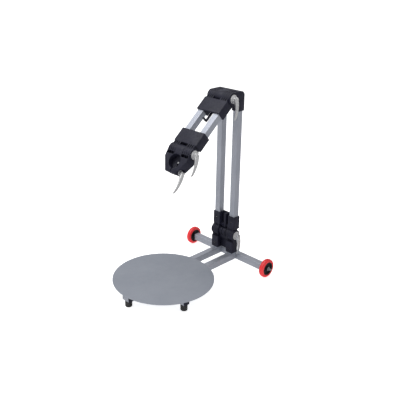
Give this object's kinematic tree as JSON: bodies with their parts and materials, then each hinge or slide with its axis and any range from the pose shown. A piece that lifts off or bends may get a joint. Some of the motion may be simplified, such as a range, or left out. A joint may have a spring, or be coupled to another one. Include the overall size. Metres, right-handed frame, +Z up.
{
  "type": "wheeled folding stand arm",
  "caption": "Low wheeled base with a round platform, carrying a two-tube column and a hinged two-tube arm that ends in a clamping head; cam levers lock each hinge.",
  "frame": {"origin": "on the floor, under the middle of the bounding box", "axes": "+Z up, +X along the wheel axle towards the side with the levers, -Y from the column towards the platform"},
  "size_m": [0.6926, 0.9104, 1.1095],
  "materials": {
    "satin_tube": "satin anodised extrusion with fine lengthwise grain",
    "platform_grey": "even silver-grey satin coat",
    "black_plastic": "moulded black with a fine spark-eroded grain",
    "hub_plastic": "moulded black",
    "red_tyre": "satin red polyurethane",
    "black_rubber": "matt black rubber",
    "lever_metal": "bright plated, lightly satin",
    "dark_screw": "black oxide",
    "steel": "zinc plated"
  },
  "bodies": {
    "base": {"axle_left": "steel", "axle_nuts": "steel", "axle_right": "steel", "base_block_screws": "dark_screw", "base_hinge_block": "black_plastic", "base_hinge_nut": "steel", "base_hinge_rod": "steel", "base_hinge_washers": "lever_metal", "base_stub_tubes": "satin_tube", "cross_tube": "satin_tube", "cross_tube_plugs": "black_plastic", "disc_nuts": "steel", "disc_studs": "steel", "foot_front": "black_rubber", "foot_left": "black_rubber", "foot_right": "black_rubber", "foot_screws": "steel", "foot_tube_plugs": "black_plastic", "front_beam": "satin_tube", "front_foot_tube": "satin_tube", "front_spur": "satin_tube", "platform_disc": "platform_grey", "rail_left": "satin_tube", "rail_right": "satin_tube"},
    "wheel_left": {"wheel_hub_left": "hub_plastic", "tyre_left": "red_tyre", "wheel_bearings_left": "steel"},
    "wheel_right": {"wheel_hub_right": "hub_plastic", "tyre_right": "red_tyre", "wheel_bearings_right": "steel"},
    "column": {"column_foot_block": "black_plastic", "column_tube_left": "satin_tube", "column_tube_right": "satin_tube", "column_head_block": "black_plastic", "column_screws": "dark_screw", "elbow_rod": "steel", "elbow_washers": "lever_metal", "elbow_nut": "steel"},
    "arm": {"arm_root_block": "black_plastic", "arm_tube_left": "satin_tube", "arm_tube_right": "satin_tube", "arm_tip_block": "black_plastic", "arm_screws": "dark_screw", "arm_hook": "black_plastic"},
    "head": {"head_block": "black_plastic", "recess_screw": "steel", "wrist_rod": "steel", "wrist_washers": "lever_metal", "wrist_nut": "steel", "head_clamp_rod": "steel", "head_clamp_washers": "lever_metal", "head_clamp_nut": "steel"},
    "base_lever": {"base_hinge_lever": "lever_metal", "base_hinge_lever_pin": "steel"},
    "elbow_lever": {"elbow_lever": "lever_metal", "elbow_lever_pin": "steel"},
    "wrist_lever": {"wrist_lever": "lever_metal", "wrist_lever_pin": "steel"},
    "clamp_lever": {"head_clamp_lever": "lever_metal", "head_clamp_lever_pin": "steel"}
  },
  "joints": [
    {"name": "wheel_left_spin", "type": "hinge", "parent": "base", "child": "wheel_left", "pos_m": [-0.308, 0.39775, 0.0575], "axis": [1, 0, 0], "continuous": true},
    {"name": "wheel_right_spin", "type": "hinge", "parent": "base", "child": "wheel_right", "pos_m": [0.308, 0.39775, 0.0575], "axis": [1, 0, 0], "continuous": true},
    {"name": "base_tilt", "type": "hinge", "parent": "base", "child": "column", "pos_m": [0, 0.36475, 0.204], "axis": [1, 0, 0], "range_deg": [-15, 45]},
    {"name": "elbow_bend", "type": "hinge", "parent": "column", "child": "arm", "pos_m": [0, 0.29975, 1.0745], "axis": [1, 0, 0], "range_deg": [-85, 40]},
    {"name": "wrist_bend", "type": "hinge", "parent": "arm", "child": "head", "pos_m": [0, -0.00669, 0.81277], "axis": [-1, 0, 0], "range_deg": [-70, 65]},
    {"name": "base_lever_cam", "type": "hinge", "parent": "base", "child": "base_lever", "pos_m": [0.1033, 0.36475, 0.204], "axis": [0, -1, 0], "range_deg": [0, 100]},
    {"name": "elbow_lever_cam", "type": "hinge", "parent": "column", "child": "elbow_lever", "pos_m": [0.1033, 0.29975, 1.0745], "axis": [0, -1, 0], "range_deg": [0, 100]},
    {"name": "wrist_lever_cam", "type": "hinge", "parent": "head", "child": "wrist_lever", "pos_m": [0.1033, -0.00669, 0.81277], "axis": [0, -0.9511, 0.309], "range_deg": [0, 100]},
    {"name": "clamp_lever_cam", "type": "hinge", "parent": "head", "child": "clamp_lever", "pos_m": [0.05797, -0.07151, 0.71297], "axis": [0, -0.8387, 0.5446], "range_deg": [0, 95]}
  ]
}
